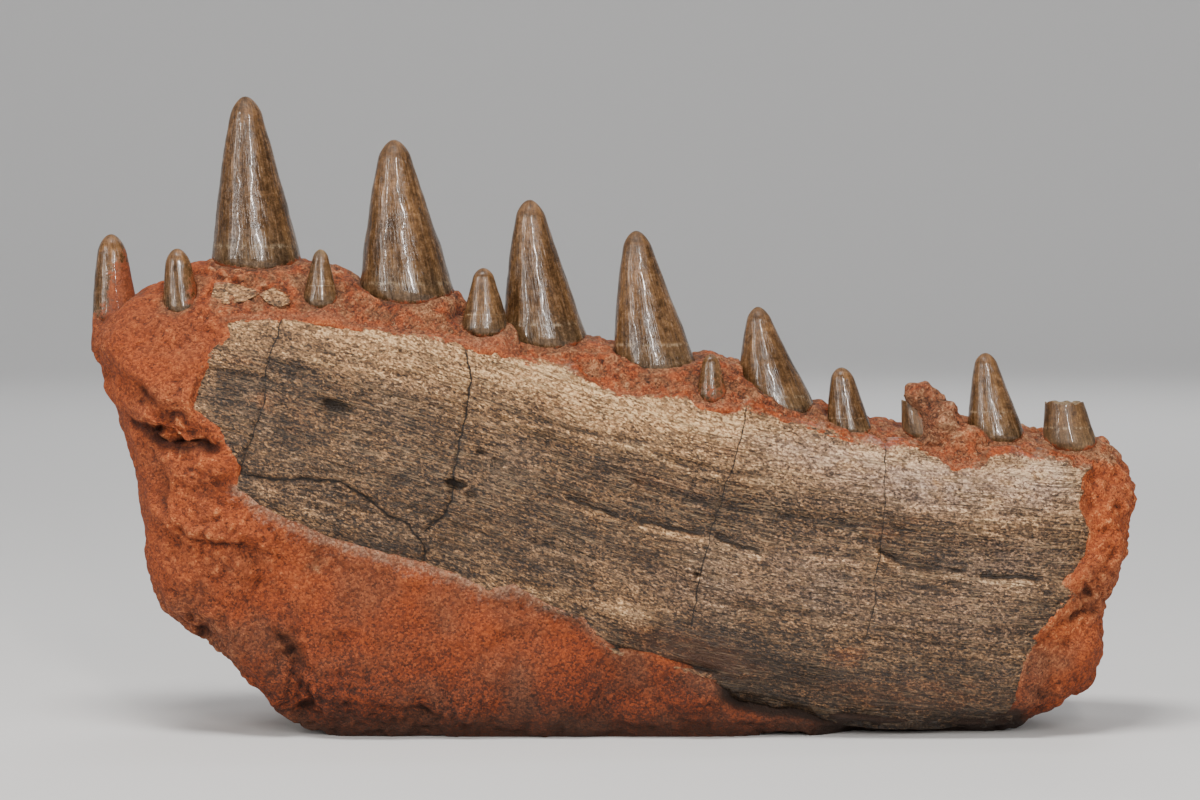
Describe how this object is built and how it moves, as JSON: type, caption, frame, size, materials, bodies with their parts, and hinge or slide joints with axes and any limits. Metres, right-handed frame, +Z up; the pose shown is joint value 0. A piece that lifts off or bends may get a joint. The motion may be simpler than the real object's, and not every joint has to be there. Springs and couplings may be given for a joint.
{
  "type": "fossil jaw section in matrix",
  "caption": "Long fossil jaw bone bared on the front of a rough sandstone block that stands on a flat foot, with a row of conical teeth leaning back along its sloping ridge.",
  "frame": {"origin": "centre of the box around the part, in the plane of the flat underside it stands on", "axes": "+X along the jaw from its deep end with the tall teeth to its low end, +Y from the bared bone side to the back of the block, +Z up towards the tooth tips"},
  "size_m": [0.335, 0.0936, 0.2015],
  "materials": {
    "red_matrix": "rough broken red-orange sandstone, dry and sandy",
    "fossil_bone": "fine-grained grey-tan fossil bone with streaks along its length, slightly satin",
    "tooth_enamel": "glossy olive-brown fossil enamel, finely striated"
  },
  "bodies": {
    "root": {"matrix_block": "red_matrix", "jaw_bone": "fossil_bone", "bone_chip_left": "fossil_bone", "bone_chip_right": "fossil_bone", "tooth_01": "tooth_enamel", "tooth_02": "tooth_enamel", "tooth_03": "tooth_enamel", "tooth_04": "tooth_enamel", "tooth_05": "tooth_enamel", "tooth_06": "tooth_enamel", "tooth_07": "tooth_enamel", "tooth_08": "tooth_enamel", "tooth_09": "tooth_enamel", "tooth_10": "tooth_enamel", "tooth_11": "tooth_enamel", "tooth_12": "tooth_enamel", "tooth_13": "tooth_enamel", "tooth_14": "tooth_enamel"}
  },
  "joints": []
}
